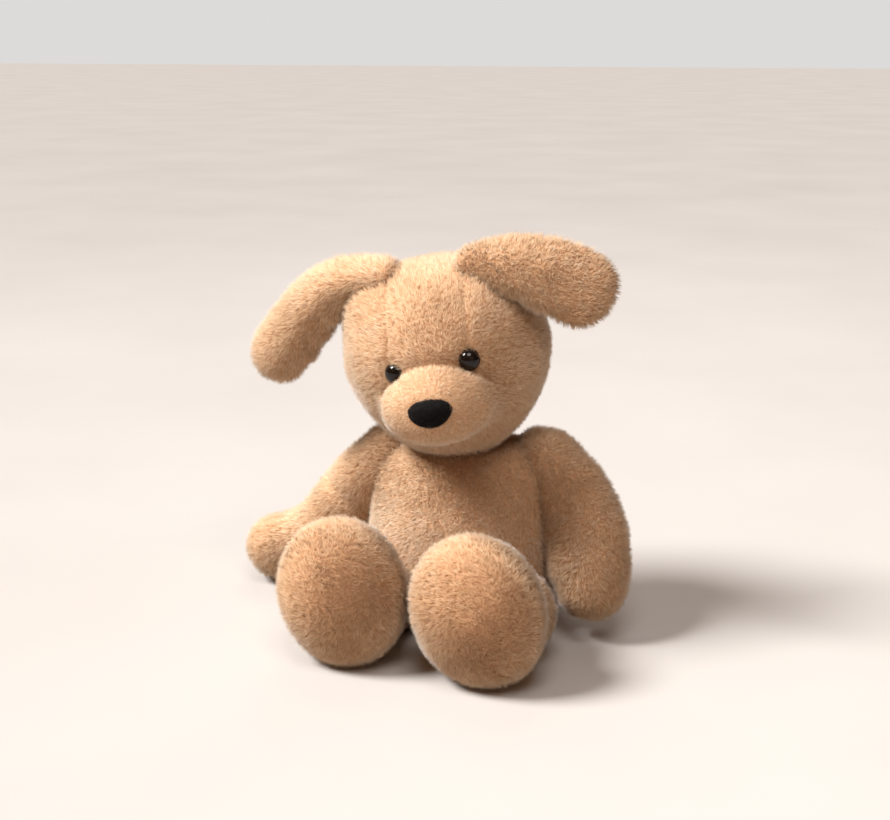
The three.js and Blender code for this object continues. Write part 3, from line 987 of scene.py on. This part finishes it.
arc = np.linspace(-math.pi / 2, math.pi / 2, 9)
fold = half_loop(LABEL_HALF_GAP, arc) + half_loop(LABEL_HALF_INSIDE, arc[::-1])
rows = 13
loop_points = []
for up in np.linspace(-LABEL_HALF_TALL, LABEL_HALF_TALL, rows):
    for out, across in fold:
        bend = (out / 14) ** 2
        y, z = out * 0.97 - 7, up - 3.0 * bend
        loop_points.append((
            across + 2.0 * bend,
            LABEL_AT[0] + y * math.cos(LABEL_LEAN) - z * math.sin(LABEL_LEAN),
            LABEL_AT[1] + y * math.sin(LABEL_LEAN) + z * math.cos(LABEL_LEAN),
        ))
around = len(fold)
loop_faces = [
    (r * around + i, r * around + (i + 1) % around, (r + 1) * around + (i + 1) % around, (r + 1) * around + i)
    for r in range(rows - 1)
    for i in range(around)
]
half = around // 2
for r in (0, rows - 1):
    rim = [
        (r * around + i, r * around + i + 1, r * around + around - 2 - i, r * around + around - 1 - i)
        for i in range(half - 1)
    ]
    loop_faces += [f if r else f[::-1] for f in rim]
tape = mesh_object("care_tape", loop_points, loop_faces)
shade_smooth(tape)
tape.data.materials.append(LABEL)
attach(tape, "torso")
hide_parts("care_label")

# ---- CAD pieces that stay: the washers ----

for name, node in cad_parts.items():
    if node.hide_render:
        continue
    node.data.materials.clear()
    node.data.materials.append(WASHER)

# ---- Floor, light and camera ----

FLOOR_CORNERS = [(-2e4, -2e4, 0), (2e4, -2e4, 0), (2e4, 2e4, 0), (-2e4, 2e4, 0)]
floor = mesh_object("floor", FLOOR_CORNERS, [(0, 1, 2, 3)])
floor.data.materials.append(noisy_material("floor_paint", (0.52, 0.495, 0.47), (0.56, 0.535, 0.51), 3, 0.7))


def area_light(name, spot, aim, size, power, colour):
    light = bpy.data.lights.new(name, "AREA")
    light.shape = "DISK"
    light.size = size
    light.energy = power
    light.color = colour
    made = bpy.data.objects.new(name, light)
    made.location = spot
    made.rotation_mode = "QUATERNION"
    made.rotation_quaternion = (Vector(spot) - Vector(aim)).to_track_quat("Z", "Y")
    bpy.context.scene.collection.objects.link(made)


AIM = (0, 0, 0.12)
sun = bpy.data.objects.new("key", bpy.data.lights.new("key", "SUN"))
sun.data.energy = 5.5
sun.data.angle = math.radians(21)
sun.data.color = (1.0, 0.985, 0.97)
sun.rotation_mode = "QUATERNION"
sun.rotation_quaternion = Vector((-0.92, -0.58, 1.20)).to_track_quat("Z", "Y")
bpy.context.scene.collection.objects.link(sun)
area_light("top", (0.35, -0.75, 1.4), AIM, 0.8, 10, (1.0, 0.98, 0.96))
area_light("fill", (1.1, -1.0, 0.6), AIM, 1.0, 1.0, (1.0, 0.68, 0.48))
area_light("window", (-0.3, 0.8, 1.4), AIM, 1.0, 5, (1.0, 0.99, 0.98))

world = bpy.data.worlds.new("studio")
world.use_nodes = True
tree = world.node_tree
glow = tree.nodes["Background"]
glow.inputs["Color"].default_value = (1.0, 0.54, 0.32, 1)
glow.inputs["Strength"].default_value = 0.15
wall = tree.nodes.new("ShaderNodeBackground")
wall.inputs["Color"].default_value = (0.72, 0.71, 0.70, 1)
eye_path = tree.nodes.new("ShaderNodeLightPath")
either = tree.nodes.new("ShaderNodeMixShader")
tree.links.new(eye_path.outputs["Is Camera Ray"], either.inputs["Fac"])
tree.links.new(glow.outputs["Background"], either.inputs[1])
tree.links.new(wall.outputs["Background"], either.inputs[2])
tree.links.new(either.outputs["Shader"], tree.nodes["World Output"].inputs["Surface"])
bpy.context.scene.world = world
bpy.context.scene.view_settings.view_transform = "Standard"

AZIMUTH, ELEVATION, DISTANCE = math.radians(20), math.radians(15), 0.85
TARGET = Vector((-0.009, -0.012, 0.136))
back = Vector((
    math.sin(AZIMUTH) * math.cos(ELEVATION),
    -math.cos(AZIMUTH) * math.cos(ELEVATION),
    math.sin(ELEVATION),
))
camera = bpy.data.objects.new("camera", bpy.data.cameras.new("camera"))
camera.data.sensor_width = 36
camera.data.lens = 55.5
camera.data.clip_start = 0.05
camera.location = TARGET + back * DISTANCE
camera.rotation_mode = "QUATERNION"
camera.rotation_quaternion = back.to_track_quat("Z", "Y")
bpy.context.scene.collection.objects.link(camera)
bpy.context.scene.camera = camera
